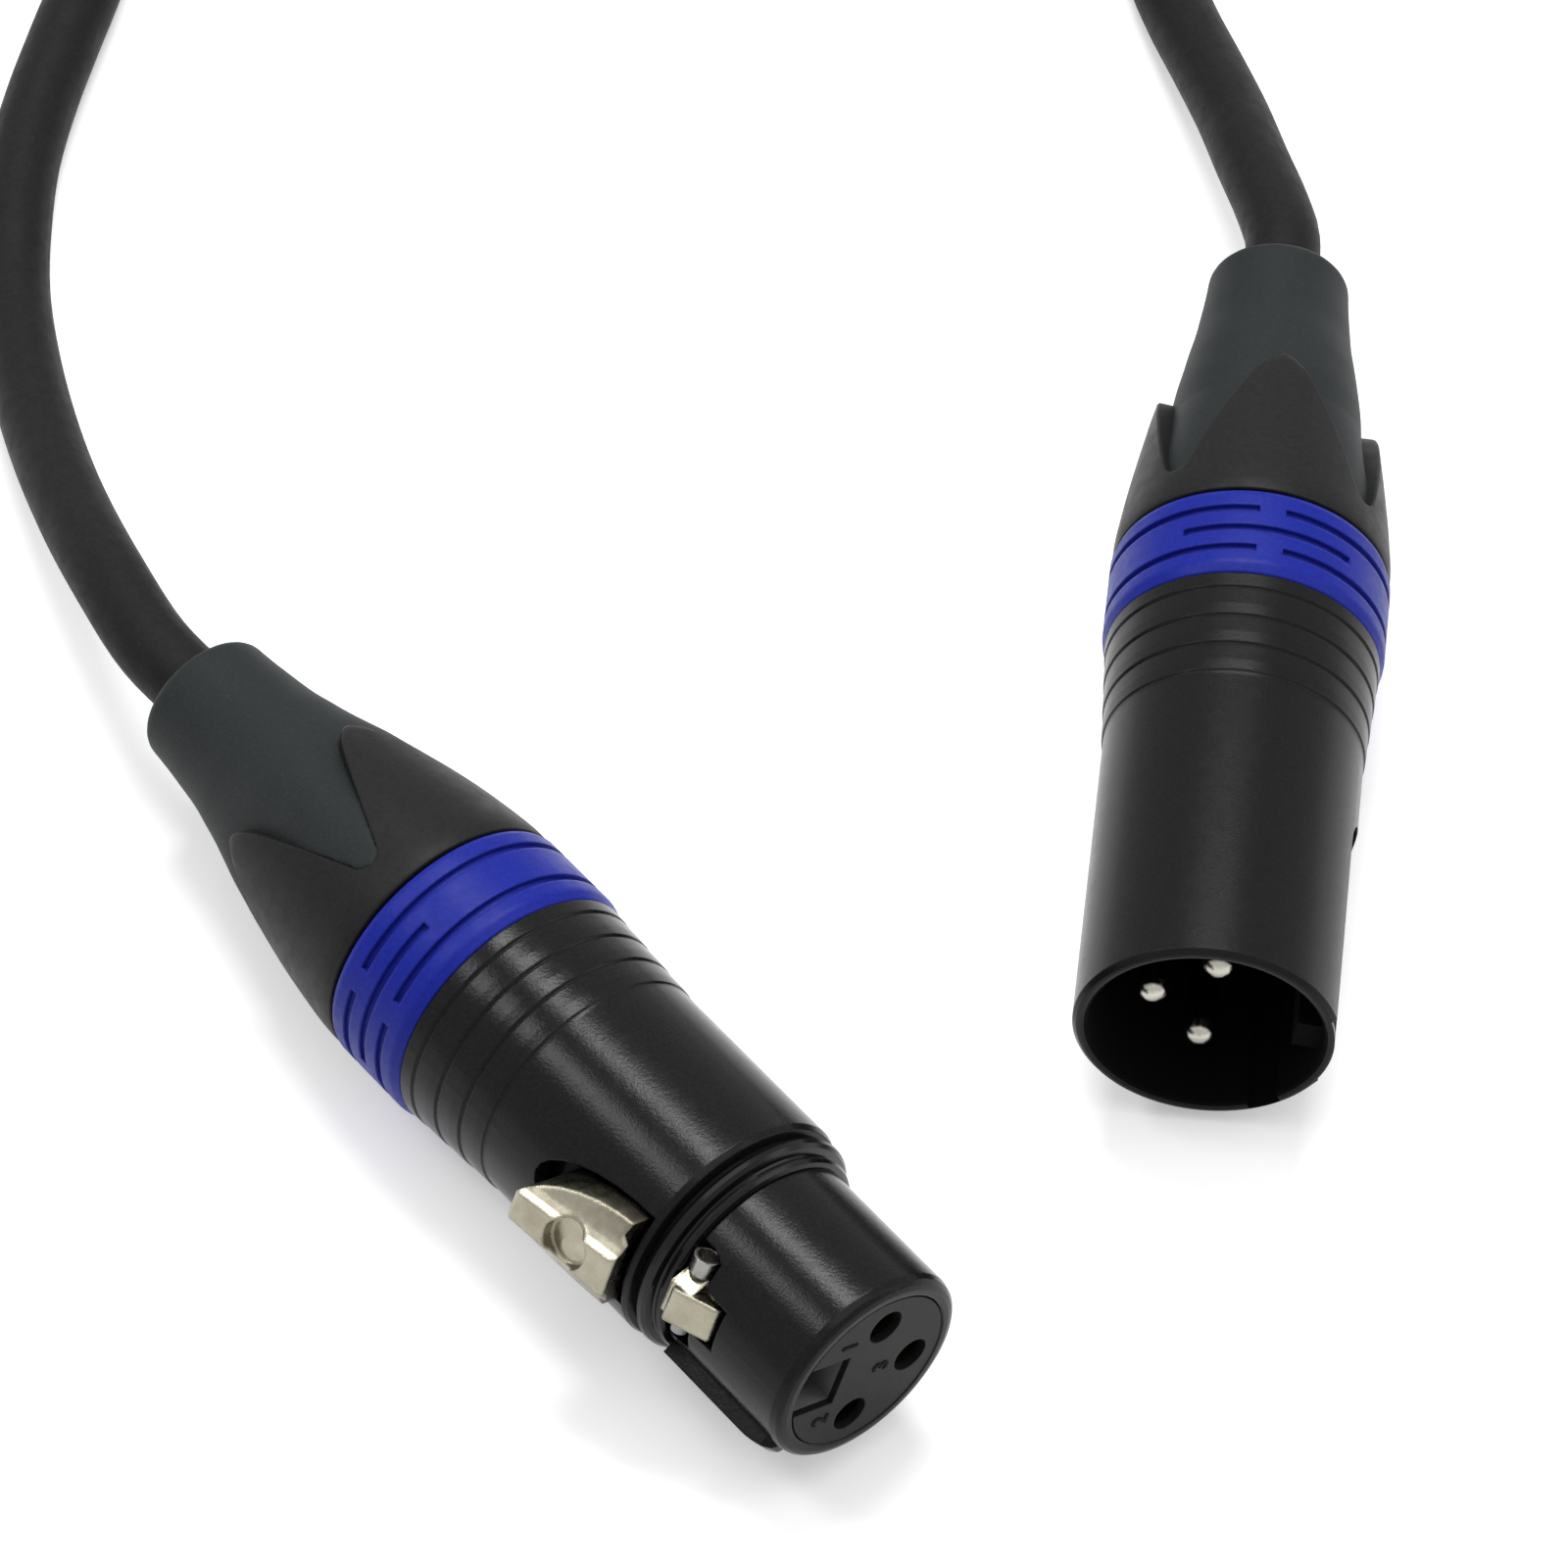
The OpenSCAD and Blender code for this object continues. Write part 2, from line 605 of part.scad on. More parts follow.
// nylon plug at the other end of the cross pin
module cross_pin_plug() {
  color([0.85, 0.85, 0.82])
  latch_swing() translate([cross_x, -cross_half, cross_z]) rotate([-90, 0, 0])
    cylinder(r = 0.6, h = cross_half - 2.02);
}

// small coil spring between the insert and the lever
module latch_spring() {
  curls = 3;
  rings_per_curl = 8;
  wire_r = 0.17;
  spring_r = 1.25;
  base = platform_x + wire_r;
  rise = pad_base - 0.22 - base - wire_r;
  steps = curls * rings_per_curl;
  path = [for (i = [0:steps]) let (a = 360 * i / rings_per_curl)
    [base + rise * i / steps, spring_r * cos(a), dimple_z + spring_r * sin(a)]];
  color([0.6, 0.6, 0.58])
  place_socket() spring_tube(path, wire_r);
}

// six-sided wire round an axis along +X
module spring_tube(path, r) {
  sides = 6;
  n = len(path);
  centre = [0, 0, dimple_z];
  points = [for (i = [0:n - 1]) let (out = unit([0, path[i][1], path[i][2] - centre[2]]), axis = [1, 0, 0])
    for (k = [0:sides - 1]) path[i] + r * (cos(360 * k / sides) * out + sin(360 * k / sides) * axis)];
  start_cap = [for (k = [1:sides - 2]) [0, k, k + 1]];
  end_cap = [for (k = [1:sides - 2]) [0, k + 1, k] + (n - 1) * sides * [1, 1, 1]];
  walls = [for (i = [0:n - 2], k = [0:sides - 1])
    let (a = i * sides + k, b = i * sides + (k + 1) % sides)
    each [[a, b + sides, b], [a, a + sides, b + sides]]];
  polyhedron(points = points, faces = concat(start_cap, walls, end_cap));
}

module female_chuck() {
  place_socket() chuck(socket_ring_z + ring_w);
}

module female_colour_ring() {
  place_socket() colour_ring(socket_ring_z, 7);
}

module female_gland_nut() {
  place_socket() gland_nut(socket_ring_z + ring_w);
}

module female_boot() {
  place_socket() boot(socket_ring_z + ring_w, female_lobe_sink);
}

module female_cable_end() {
  place_socket() cable_end(socket_ring_z + ring_w);
}

module female_wires() {
  place_socket() wires(insert_rear + 1.6, insert_rear + 4.6, socket_ring_z + ring_w);
}

// ---------------------------------------------------------------- pin connector

module male_shell() {
  ring_z = plug_ring_z;
  color([0.09, 0.09, 0.10])
  place_plug() difference() {
    union() {
      turned(concat(
        [[mouth_r, 0.3], [mouth_r + 0.25, 0.05], [mouth_r + 0.5, 0], [tube_r - 0.3, 0.05], [tube_r, 0.4]],
        shell_rear(ring_z),
        [[spigot_bore_r + 0.05, plug_seat_z], [6.98, plug_seat_z], [6.98, plug_insert_z - 0.1],
         [mouth_r, plug_insert_z - 0.1]]
      ));
      // key inside the mouth
      intersection() {
        translate([6.3, -1.3, 1.4]) cube([3, 2.6, plug_insert_z - 1.5]);
        cylinder(r = mouth_r + 0.3, h = 20);
      }
    }
    // shallow flat outside the key
    difference() {
      outward(8, 11) polygon(concat(
        [[-3.7, -1], [3.7, -1]],
        [for (a = [0:15:180]) [3.7 * cos(a), 16.6 + 3 * sin(a)]]
      ));
      cylinder(r = tube_r - 0.35, h = 60, center = true);
    }
    // keyway for the rib on the mating nose
    rotate([0, 0, rib_angle]) intersection() {
      translate([7, -1.25, -1]) cube([4, 2.5, 14]);
      translate([0, 0, -2]) cylinder(r = nose_r + 1.15, h = 20);
    }
  }
}

module male_insert() {
  color([0.05, 0.05, 0.05])
  place_plug() difference() {
    union() {
      translate([0, 0, plug_insert_z]) cylinder(r = 6.93, h = 2);
      translate([0, 0, plug_seat_z + 0.02]) cylinder(r = spigot_bore_r, h = plug_insert_rear - plug_seat_z);
    }
    for (a = [-90, 90, 180]) rotate([0, 0, a]) translate([contact_circle_r, 0, 0]) {
      cylinder(r = plug_root_r + 0.02, h = 40);
    }
  }
}

// pin contact with its solder cup
module contact_pin(angle) {
  cup_z = plug_insert_rear;
  nose = 0.75;
  color([0.80, 0.80, 0.78])
  place_plug() rotate([0, 0, angle]) translate([contact_circle_r, 0, 0]) difference() {
    union() {
      turned([
        [0, pin_tip_z], [0.45, pin_tip_z + 0.06], [0.8, pin_tip_z + 0.25], [1.05, pin_tip_z + nose * 0.7],
        [pin_r, pin_tip_z + nose * 1.5], [pin_r, plug_insert_z + 0.05], [plug_root_r, plug_insert_z + 0.05],
        [plug_root_r, cup_z], [0, cup_z]
      ]);
      translate([0, 0, cup_z]) cylinder(r = 1.6, h = 4.4);
    }
    translate([0, 0, cup_z + 1.4]) cylinder(r = 1.1, h = 5);
    translate([0, -1.1, cup_z + 2.4]) cube([3, 2.2, 5]);
  }
}

module male_contact_1() {
  contact_pin(-90);
}

module male_contact_2() {
  contact_pin(90);
}

module male_contact_3() {
  contact_pin(180);
}

module male_chuck() {
  place_plug() chuck(plug_ring_z + ring_w);
}

module male_colour_ring() {
  place_plug() colour_ring(plug_ring_z, -90);
}

module male_gland_nut() {
  place_plug() gland_nut(plug_ring_z + ring_w);
}

module male_boot() {
  place_plug() boot(plug_ring_z + ring_w, male_lobe_sink);
}

module male_cable_end() {
  place_plug() cable_end(plug_ring_z + ring_w);
}

module male_wires() {
  place_plug() wires(plug_insert_rear + 1.4, plug_insert_rear + 4.4, plug_ring_z + ring_w);
}

// ---------------------------------------------------------------- cable

module cable_run_female() {
  color([0.13, 0.13, 0.14]) tube(female_route, cable_r, 10, -90);
}

module cable_run_male() {
  color([0.13, 0.13, 0.14]) tube(male_route, cable_r, 10, -90);
}

module cable_coil() {
  color([0.13, 0.13, 0.14]) tube(coil_path, cable_r, 6, 30);
}

// strap round the bundle on the coil's near side
module cable_tie() {
  outer = coil_r - 0.75 * coil_pitch + cable_r + 0.3;
  inner = coil_r - (coil_turns / 2 - 0.5) * coil_pitch - cable_r - 1.2;
  top = tie_lift + cable_d + layer_step + 0.3;
  corner = 2.4;
  color([0.06, 0.06, 0.07])
  translate([coil_x - tie_w / 2, coil_y, 0]) rotate([90, 0, 90]) linear_extrude(tie_w) {
    difference() {
      strap_outline(-outer - tie_t, -inner + tie_t, 0, top + tie_t, corner + tie_t);
      strap_outline(-outer, -inner, tie_t, top, corner);
    }
    // free end folded over the top
    translate([-outer + 4, top + tie_t]) square([11, 0.8]);
  }
}

// rectangle with round corners
module strap_outline(x0, x1, y0, y1, r) {
  polygon([for (q = [0:3], a = [0:22.5:90])
    let (cx = (q == 0 || q == 3) ? x1 - r : x0 + r, cy = (q < 2) ? y1 - r : y0 + r)
    [cx + r * cos(a + 90 * q), cy + r * sin(a + 90 * q)]]);
}

female_shell();
female_seal_ring();
female_insert();
female_contact_1();
female_contact_2();
female_contact_3();
latch_lever();
latch_pivot_pin();
latch_cross_pin();
cross_pin_plug();
latch_spring();
female_chuck();
female_colour_ring();
female_gland_nut();
female_boot();
female_cable_end();
female_wires();
male_shell();
male_insert();
male_contact_1();
male_contact_2();
male_contact_3();
male_chuck();
male_colour_ring();
male_gland_nut();
male_boot();
male_cable_end();
male_wires();
cable_run_female();
cable_run_male();
cable_coil();
cable_tie();
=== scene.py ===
import math
import bpy
from mathutils import Matrix, Vector


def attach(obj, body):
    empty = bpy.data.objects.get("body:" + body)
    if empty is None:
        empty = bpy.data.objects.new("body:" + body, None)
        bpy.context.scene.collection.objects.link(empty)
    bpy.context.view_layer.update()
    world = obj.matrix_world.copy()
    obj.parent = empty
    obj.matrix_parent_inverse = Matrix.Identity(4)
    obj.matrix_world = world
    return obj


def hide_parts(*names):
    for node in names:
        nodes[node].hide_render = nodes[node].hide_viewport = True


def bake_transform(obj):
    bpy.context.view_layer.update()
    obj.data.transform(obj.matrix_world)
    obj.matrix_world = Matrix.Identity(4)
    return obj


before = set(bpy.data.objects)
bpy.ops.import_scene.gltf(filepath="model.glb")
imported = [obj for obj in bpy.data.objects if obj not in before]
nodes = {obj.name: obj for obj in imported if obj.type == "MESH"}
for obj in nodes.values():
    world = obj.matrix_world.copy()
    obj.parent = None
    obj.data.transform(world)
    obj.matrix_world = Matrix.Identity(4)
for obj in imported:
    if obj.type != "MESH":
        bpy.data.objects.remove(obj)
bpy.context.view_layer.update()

scene = bpy.context.scene
scene.view_settings.view_transform = "Standard"

# ---------------------------------------------------------------- camera
CAMERA_AT = (0.041487, -0.349184, 0.455727)
CAMERA_DOWN, CAMERA_TURN = 51.598, 6.411
cam_data = bpy.data.cameras.new("camera")
cam_data.sensor_fit = "HORIZONTAL"
cam_data.sensor_width = 36.0
cam_data.lens = 180.0
cam_data.clip_start = 0.01
cam = bpy.data.objects.new("camera", cam_data)
cam.location = CAMERA_AT
cam.rotation_euler = (math.radians(90 - CAMERA_DOWN), 0, math.radians(CAMERA_TURN))
scene.collection.objects.link(cam)
scene.camera = cam

# ---------------------------------------------------------------- cable
# The routes repeat the constants of part.scad, in millimetres.
CABLE_D = 5.8
FEMALE_ROUTE = [
    (-41.2, 5.1, 10.4), (-45.4, 9.2, 10.4), (-49.8, 15.8, 9.7), (-54.2, 24, 7.6),
    (-58.2, 33.1, 5.2), (-61.4, 41.9, 3.6), (-63.4, 49, 2.9), (-64.4, 55.4, 2.9),
    (-65, 62.9, 2.9), (-64.7, 69.9, 2.9), (-64, 76.4, 2.9), (-63.2, 83.3, 2.9),
    (-63, 94.8, 2.9), (-63.4, 107.8, 2.9), (-63.8, 120.8, 2.9),
]
MALE_ROUTE = [
    (34.2, 54, 10.4), (34.2, 58.4, 10.4), (33.1, 62.8, 9.6), (31.2, 68.6, 8.2),
    (29.2, 75.3, 6.2), (26.7, 82.2, 4.4), (24.3, 88.2, 3.2), (22.2, 93.8, 2.9),
    (20.8, 99.8, 3.1), (20.4, 106.8, 4), (20.4, 115.8, 6), (20.5, 124.8, 8.2),
]
COIL_X, COIL_Y, COIL_R, PITCH, TURNS = -21.7, 140.0, 42.2, 6.4, 6.5
LAYER = CABLE_D + 0.5
TIE_LIFT = 1.5
STEPS_PER_TURN = 24
ROUTE_STEP = 1.6


def smooth(t):
    c = min(1.0, max(0.0, t))
    return c * c * (3 - 2 * c)


def coil_point(u):
    """The coil after u turns: inwards, up to the second layer, then outwards again."""
    azimuth = math.radians(180 - 360 * u)
    r = COIL_R - PITCH * min(u, TURNS - u)
    climb = LAYER * smooth((u - TURNS / 2 + 0.25) / 0.5)
    over_tie = TIE_LIFT * max(0.0, math.cos(azimuth - math.radians(270))) ** 8
    x, y = COIL_X + r * math.cos(azimuth), COIL_Y + r * math.sin(azimuth)
    return (x, y, CABLE_D / 2 + climb + over_tie)


def spline_through(points, step):
    """Centripetal Catmull-Rom through the points, sampled about every step."""
    p = [Vector(q) for q in points]
    p = [2 * p[0] - p[1]] + p + [2 * p[-1] - p[-2]]
    out = []
    for i in range(1, len(p) - 2):
        a, b, c, d = p[i - 1], p[i], p[i + 1], p[i + 2]
        t0 = 0.0
        t1 = t0 + (b - a).length ** 0.5
        t2 = t1 + (c - b).length ** 0.5
        t3 = t2 + (d - c).length ** 0.5
        n = max(1, round((c - b).length / step))
        for k in range(n):
            t = t1 + (t2 - t1) * k / n
            a1 = a * ((t1 - t) / (t1 - t0)) + b * ((t - t0) / (t1 - t0))
            a2 = b * ((t2 - t) / (t2 - t1)) + c * ((t - t1) / (t2 - t1))
            a3 = c * ((t3 - t) / (t3 - t2)) + d * ((t - t2) / (t3 - t2))
            b1 = a1 * ((t2 - t) / (t2 - t0)) + a2 * ((t - t0) / (t2 - t0))
            b2 = a2 * ((t3 - t) / (t3 - t1)) + a3 * ((t - t1) / (t3 - t1))
            out.append(b1 * ((t2 - t) / (t2 - t1)) + b2 * ((t - t1) / (t2 - t1)))
    out.append(p[-2])
    return out


coil = [coil_point(i / STEPS_PER_TURN) for i in range(int(TURNS * STEPS_PER_TURN) + 1)]
entry = [(COIL_X - COIL_R, COIL_Y - CABLE_D, CABLE_D / 2)]
leave = [(COIL_X + COIL_R, COIL_Y - CABLE_D, CABLE_D / 2 + LAYER)]
route = spline_through(FEMALE_ROUTE + entry + coil + leave + MALE_ROUTE[::-1], ROUTE_STEP)

curve = bpy.data.curves.new("cable", "CURVE")
curve.dimensions = "3D"
curve.bevel_depth = 1.0  # each point's radius is then the cable's, in metres
curve.bevel_resolution = 7
curve.use_fill_caps = True
spline = curve.splines.new("POLY")
spline.points.add(len(route) - 1)
for point, co in zip(spline.points, route):
    point.co = (co.x / 1000, co.y / 1000, co.z / 1000, 1)
    point.radius = CABLE_D / 2000
spline.use_smooth = True
cable = bpy.data.objects.new("cable", curve)
scene.collection.objects.link(cable)
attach(cable, "lead")
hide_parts("cable_run_female", "cable_run_male", "cable_coil")

# ---------------------------------------------------------------- strap
def strap_mesh():
    """A flat loop round the coil's nearest turns, with its free end folded over the top."""
    outer = COIL_R - 0.75 * PITCH + CABLE_D / 2 + 0.3
    inner = COIL_R - (TURNS / 2 - 0.5) * PITCH - CABLE_D / 2 - 1.2
    top = TIE_LIFT + CABLE_D + LAYER + 0.3
    thick, width, corner = 0.85, 12.6, 2.4

    def outline(y0, y1, z0, z1, r):
        """Rounded rectangle in y and z."""
        pts = []
        for q in range(4):
            for a in range(0, 91, 15):
                cy = y1 - r if q in (0, 3) else y0 + r
                cz = z1 - r if q < 2 else z0 + r
                t = math.radians(a + 90 * q)
                pts.append((cy + r * math.cos(t), cz + r * math.sin(t)))
        return pts

    out = outline(-outer - thick, -inner + thick, 0.05, top + thick, corner + thick)
    inn = outline(-outer, -inner, thick, top, corner)
    n = len(out)
    hem, hem_pull = 0.25, 0.3
    xs = [-width / 2, -width / 2 + hem, 0, width / 2 - hem, width / 2]
    verts, faces = [], []
    for j, x in enumerate(xs):
        pull = hem_pull if j in (0, len(xs) - 1) else 0.0
        for k in range(n):
            oy, oz = out[k]
            iy, iz = inn[k]
            verts.append((x, oy + (iy - oy) * pull, oz + (iz - oz) * pull))
        for k in range(n):
            oy, oz = out[k]
            iy, iz = inn[k]
            verts.append((x, iy - (iy - oy) * pull, iz - (iz - oz) * pull))
    for j in range(len(xs) - 1):
        a, b = j * 2 * n, (j + 1) * 2 * n
        for k in range(n):
            m = (k + 1) % n
            faces.append((a + k, a + m, b + m, b + k))
            faces.append((a + n + k, b + n + k, b + n + m, a + n + m))
    for a, flip in ((0, False), ((len(xs) - 1) * 2 * n, True)):
        for k in range(n):
            m = (k + 1) % n
            f = (a + k, a + n + k, a + n + m, a + m)
            faces.append(f[::-1] if flip else f)
    # the free end, folded over the top
    base = len(verts)
    y0, y1 = -outer + 3.6, -outer + 15.2
    z0, z1 = top + thick - 0.02, top + thick + 0.75
    ring = [(y0, z0), (y0 + 0.2, z1 - 0.1), (y0 + 0.6, z1),
            (y1 - 0.6, z1), (y1 - 0.2, z1 - 0.1), (y1, z0)]
    for x in (-width / 2 + 0.1, width / 2 - 0.1):
        verts.extend((x, y, z) for y, z in ring)
    m = len(ring)
    for k in range(m):
        faces.append((base + k, base + (k + 1) % m, base + m + (k + 1) % m, base + m + k))
    faces.append(tuple(base + k for k in range(m))[::-1])
    faces.append(tuple(base + m + k for k in range(m)))
    mesh = bpy.data.meshes.new("strap")
    placed = [((COIL_X + x) / 1000, (COIL_Y + y) / 1000, z / 1000) for x, y, z in verts]
    mesh.from_pydata(placed, [], faces)
    mesh.validate()
    mesh.update()
    return mesh


strap = bpy.data.objects.new("strap", strap_mesh())
scene.collection.objects.link(strap)
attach(strap, "lead")
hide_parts("cable_tie")

# ---------------------------------------------------------------- gland nuts and soft tails
# Distances behind the coloured ring and radii, in millimetres, close to those in part.scad.
NUT = [
    (0.15, 10.2), (0.5, 10.3), (1.8, 10.27), (3.6, 10.08), (5.5, 9.86),
    (7.4, 9.6), (9.3, 9.32), (11.2, 9.02), (13.2, 8.7), (15.4, 8.28),
]
BOOT_END = [(22.5, 6.02), (25.0, 5.7), (27.0, 5.48), (29.4, 5.3)]
LOBE = [
    (2.0, 10.14), (2.6, 10.12), (5.7, 9.8), (7.4, 9.55), (9.0, 9.26), (10.6, 8.94),
    (12.3, 8.58), (13.9, 8.2), (15.6, 7.8), (17.2, 7.33), (18.9, 6.84), (20.6, 6.44),
] + BOOT_END
UNDER = [
    (2.0, 9.2), (6.0, 8.7), (9.0, 7.75), (11.0, 7.5), (13.0, 7.3), (15.4, 7.12),
    (17.0, 6.93), (19.0, 6.6), (20.6, 6.36),
] + BOOT_END
# Petals: how far back their tips and valleys reach, and the slope and rounding of their sides.
TIP, ROOT, SLOPE, ROUND = 15.4, 3.2, 0.357, 1.2
TAIL = 29.4
PLUG_BACK, SOCKET_BACK = 42.1, 47.3  # from each mouth to the end of its coloured ring


def connector_at(x, y, yaw, roll):
    """A connector's own frame on the table: z runs back from its mouth."""
    return (Matrix.Translation((x, y, AXIS_H)) @ Matrix.Rotation(math.radians(yaw), 4, "Z")
            @ Matrix.Rotation(math.radians(-90), 4, "X")
            @ Matrix.Rotation(math.radians(roll), 4, "Z"))


AXIS_H = 0.0104
PLUG = connector_at(0.0342, -0.0175, 0, 7.5)
SOCKET = connector_at(0.0135, -0.0487, 45.5, -157.5)


def through(table, z):
    """Smooth value of a table of (z, r) at z."""
    if z <= table[0][0]:
        return table[0][1]
    if z >= table[-1][0]:
        return table[-1][1]
    i = max(k for k in range(len(table) - 1) if table[k][0] <= z)
    (z0, r0), (z1, r1) = table[i], table[i + 1]
    m = (r1 - r0) / (z1 - z0)
    ma = (r1 - table[i - 1][1]) / (z1 - table[i - 1][0]) if i > 0 else m
    mb = (table[i + 2][1] - r0) / (table[i + 2][0] - z0) if i + 2 < len(table) else m
    t = (z - z0) / (z1 - z0)
    h = z1 - z0
    return ((2 * t**3 - 3 * t**2 + 1) * r0 + (t**3 - 2 * t**2 + t) * h * ma
            + (3 * t**2 - 2 * t**3) * r1 + (t**3 - t**2) * h * mb)


def from_valley(theta):
    """Angle to the middle of the nearest valley between petals."""
    return abs((theta % (math.pi / 2)) - math.pi / 4)


def petal_edge(theta):
    """How far back the nut reaches at this angle: round valleys, round tips."""
    phi = from_valley(theta)
    sin_a = SLOPE / math.sqrt(1 + SLOPE**2)
    cos_a = math.sqrt(1 - sin_a**2)
    centre = ROOT + ROUND
    virtual = centre - ROUND / sin_a
    z = 8.0
    for _ in range(30):
        y = through(NUT, min(z, TIP)) * math.sin(phi)
        side = virtual + y / SLOPE if y > ROUND * cos_a else centre - math.sqrt(ROUND**2 - y**2)
        z = 0.5 * z + 0.5 * side
    k = 0.75
    return -k * math.log(math.exp(-z / k) + math.exp(-(TIP + 0.05) / k))


def placed_mesh(name, verts, faces, place, body, look_slot, smooth_angle=35):
    """An object from points in millimetres in a connector's own frame."""
    mesh = bpy.data.meshes.new(name)
    placed = [place @ Vector((x / 1000, y / 1000, z / 1000)) for x, y, z in verts]
    mesh.from_pydata(placed, [], faces)
    mesh.update()
    mesh.shade_smooth()
    mesh.set_sharp_from_angle(angle=math.radians(smooth_angle))
    o = bpy.data.objects.new(name, mesh)
    scene.collection.objects.link(o)
    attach(o, body)
    return o


def lofted(rows):
    """Quads between rows of equal length, closed round."""
    n = len(rows[0])
    verts = [v for row in rows for v in row]
    faces = []
    for j in range(len(rows) - 1):
        for k in range(n):
            m = (k + 1) % n
            faces.append((j * n + k, j * n + m, (j + 1) * n + m, (j + 1) * n + k))
    return verts, faces


AROUND = 288
ANGLES = [2 * math.pi * k / AROUND for k in range(AROUND)]
EDGES = [petal_edge(a) for a in ANGLES]


def around(radii, levels):
    """One row of points round the axis, from a radius and a z for each of ANGLES."""
    return [(r * math.cos(a), r * math.sin(a), z) for a, r, z in zip(ANGLES, radii, levels)]


def circle(r, z):
    return around([r] * AROUND, [z] * AROUND)


def nut_mesh(back):
    """The hard nut: front face, flank up to the petals' edge, rounded rim, inner wall."""
    front, front_edge, fillet, steps = 0.15, 0.1, 0.22, 26
    rows = [circle(r, back + front) for r in (9.2, through(NUT, front) - 0.12)]
    for j in range(steps + 1):
        levels = [front + front_edge + (e - fillet - front - front_edge) * j / steps
                  for e in EDGES]
        rows.append(around([through(NUT, z) for z in levels], [back + z for z in levels]))
    for q in (22, 45, 68, 90):
        sin_q, cos_q = math.sin(math.radians(q)), math.cos(math.radians(q))
        rows.append(around([through(NUT, e) - fillet + fillet * cos_q for e in EDGES],
                           [back + e - fillet + fillet * sin_q for e in EDGES]))
    for drop in (0.8, 2.2):
        rows.append(around([through(NUT, e) - drop for e in EDGES], [back + e for e in EDGES]))
    return lofted(rows)


def boot_mesh(back, sink):
    """The soft tail: four lobes between the petals, a cone behind them, a rounded end."""
    start, fine_until, fine_step, coarse_step, end = 2.4, 17, 0.24, 0.5, 0.95
    petal_gap, petal_wall = 0.12, 0.55

    def radius(theta, z, edge):
        crown = math.cos(min(math.pi / 2, 2 * from_valley(theta))) ** 2
        lobe = through(LOBE, z) - sink * max(0.0, min(1.0, (19 - z) / 6))
        under = min(through(UNDER, z), lobe)
        r = under + (lobe - under) * crown
        if z < edge - petal_gap:
            r = min(r, through(NUT, z) - petal_wall)
        return r

    rows = []
    z = start
    while z < TAIL - 1.0:
        rows.append(around([radius(a, z, e) for a, e in zip(ANGLES, EDGES)],
                           [back + z] * AROUND))
        z += fine_step if z < fine_until else coarse_step
    r_end = through(LOBE, TAIL - end)
    for q in range(0, 91, 15):
        rows.append(circle(r_end - end + end * math.cos(math.radians(q)),
                           back + (TAIL - end + end * math.sin(math.radians(q)))))
    for r, z in ((3.25, TAIL), (3.05, TAIL - 0.12), (2.95, TAIL - 0.6)):
        rows.append(circle(r, back + z))
    return lofted(rows)


# How far the soft lobes sink below the petals, which differs in the photograph.
FEMALE_SINK, MALE_SINK = 0.0, 0.7
tails = []
for end, place, back, sink in (("female", SOCKET, SOCKET_BACK, FEMALE_SINK),
                               ("male", PLUG, PLUG_BACK, MALE_SINK)):
    nut = placed_mesh(end + "_nut", *nut_mesh(back), place, "lead", "nut")
    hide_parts(end + "_gland_nut")
    tail = placed_mesh(end + "_tail", *boot_mesh(back, sink), place, "lead", "boot", 60)
    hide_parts(end + "_boot")
    tails.append((nut, tail))

# ---------------------------------------------------------------- latch spring
# Its far end goes down with the pad; here it is a straight coil placed in the socket's frame and
# attached to no body.
SPRING_BASE, SPRING_TOP, SPRING_Z = 3.77, 6.91, 18.65
SPRING_R, WIRE_R, CURLS = 1.25, 0.17, 3
TURN_STEPS, WIRE_SIDES = 24, 8
verts, faces = [], []
for i in range(CURLS * TURN_STEPS + 1):
    turn = math.radians(360 / TURN_STEPS * i)
    out = Vector((0, math.cos(turn), math.sin(turn)))
    x = SPRING_BASE + (SPRING_TOP - SPRING_BASE) * i / (CURLS * TURN_STEPS)
    centre = Vector((x, 0, SPRING_Z)) + out * SPRING_R
    for k in range(WIRE_SIDES):
        a = math.radians(360 / WIRE_SIDES * k)
        across = math.cos(a) * out + math.sin(a) * Vector((1, 0, 0))
        verts.append((centre + WIRE_R * across) / 1000)
for i in range(CURLS * TURN_STEPS):
    base = WIRE_SIDES * i
    for k in range(WIRE_SIDES):
        j = (k + 1) % WIRE_SIDES
        faces.append((base + k, base + j, base + WIRE_SIDES + j, base + WIRE_SIDES + k))
faces.append(tuple(range(WIRE_SIDES - 1, -1, -1)))
faces.append(tuple(range(len(verts) - WIRE_SIDES, len(verts))))
spring_mesh = bpy.data.meshes.new("spring")
spring_mesh.from_pydata([SOCKET @ v for v in verts], [], faces)
spring_mesh.shade_smooth()
spring = bpy.data.objects.new("spring", spring_mesh)
scene.collection.objects.link(spring)
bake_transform(spring)
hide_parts("latch_spring")

